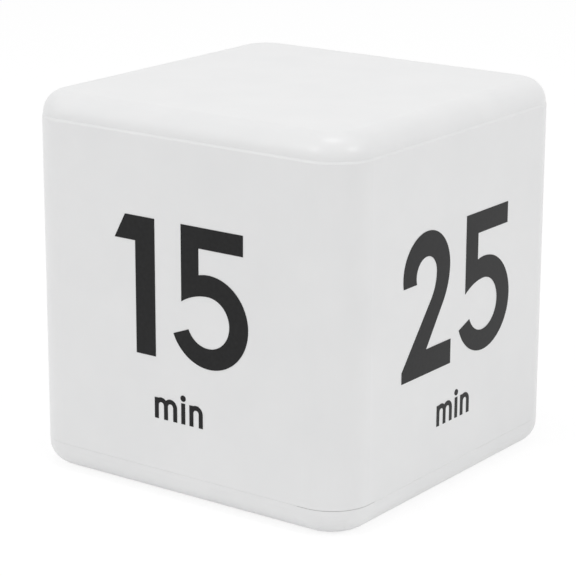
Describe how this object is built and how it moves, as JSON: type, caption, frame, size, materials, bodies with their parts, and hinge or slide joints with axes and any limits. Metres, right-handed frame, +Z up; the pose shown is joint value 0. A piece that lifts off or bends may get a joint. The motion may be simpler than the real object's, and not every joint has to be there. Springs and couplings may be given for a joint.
{
  "type": "cube timer",
  "caption": "Palm-sized white cube timer with rounded edges: turned onto a side, it counts down the number on top, with a display, a switch and a sounder underneath.",
  "frame": {"origin": "middle of the underside, on the surface that the cube stands on", "axes": "+Z up through the blank top, -Y out of the face with the 15, +X out of the face with the 25"},
  "size_m": [0.0622, 0.0622, 0.062],
  "materials": {
    "shell": "white, satin gloss",
    "ink": "dark print",
    "tray": "white, matt",
    "cell": "grey wrap with a bright button",
    "plate": "nickel plated",
    "spring": "nickel plated wire",
    "lead_red": "soft insulation",
    "lead_black": "soft insulation",
    "screw": "zinc plated",
    "board": "green solder mask",
    "resin": "black resin",
    "can": "drawn can",
    "chip_black": "black ceramic",
    "chip_tan": "tan ceramic",
    "brass_can": "gold plated",
    "plug": "black",
    "ball": "polished",
    "pin": "tinned",
    "lens": "clear acrylic",
    "lcd_glass": "clear",
    "reflector": "pearl grey-green",
    "strip": "soft",
    "brass_disc": "bare",
    "ceramic": "silvered ceramic",
    "switch_metal": "nickel plated",
    "lever": "black",
    "knob": "grey, matt"
  },
  "bodies": {
    "case": {"sleeve": "shell", "base_cover": "shell", "numerals_15": "ink", "numerals_25": "ink", "numerals_45": "ink", "numerals_5": "ink", "battery_deck": "tray", "lcd_holder": "tray", "cell_front": "cell", "cell_back": "cell", "contact_positive": "plate", "contact_negative": "plate", "contact_bridge": "plate", "spring_negative": "spring", "spring_bridge": "spring", "lead_positive": "lead_red", "buzzer_lead_a": "lead_red", "lead_negative": "lead_black", "buzzer_lead_b": "lead_black", "case_screws": "screw", "board_screws": "screw", "main_board": "board", "chip_blob": "resin", "crystal": "can", "capacitor_can": "can", "resistors": "chip_black", "capacitors": "chip_tan", "tilt_can_a": "brass_can", "tilt_can_b": "brass_can", "tilt_plug_a": "plug", "tilt_plug_b": "plug", "tilt_pins": "pin", "lcd_lens": "lens", "lcd_front_glass": "lcd_glass", "lcd_rear_glass": "lcd_glass", "lcd_reflector": "reflector", "lcd_strip": "strip", "buzzer_disc": "brass_disc", "buzzer_ceramic": "ceramic", "switch_can": "switch_metal"},
    "lid": {"top_lid": "shell"},
    "switch": {"switch_lever": "lever", "switch_knob": "knob"},
    "ball_a": {"tilt_ball_a": "ball"},
    "ball_b": {"tilt_ball_b": "ball"}
  },
  "joints": [
    {"name": "lid_lift", "type": "slide", "parent": "case", "child": "lid", "axis": [0, 0, 1], "range_m": [0, 0.025]},
    {"name": "switch_slide", "type": "slide", "parent": "case", "child": "switch", "axis": [1, 0, 0], "range_m": [-0.002, 0.002]},
    {"name": "tilt_roll_a", "type": "slide", "parent": "case", "child": "ball_a", "axis": [0.7071, 0.7071, 0], "range_m": [0, 0.0041]},
    {"name": "tilt_roll_b", "type": "slide", "parent": "case", "child": "ball_b", "axis": [-0.7071, 0.7071, 0], "range_m": [0, 0.0041]}
  ]
}
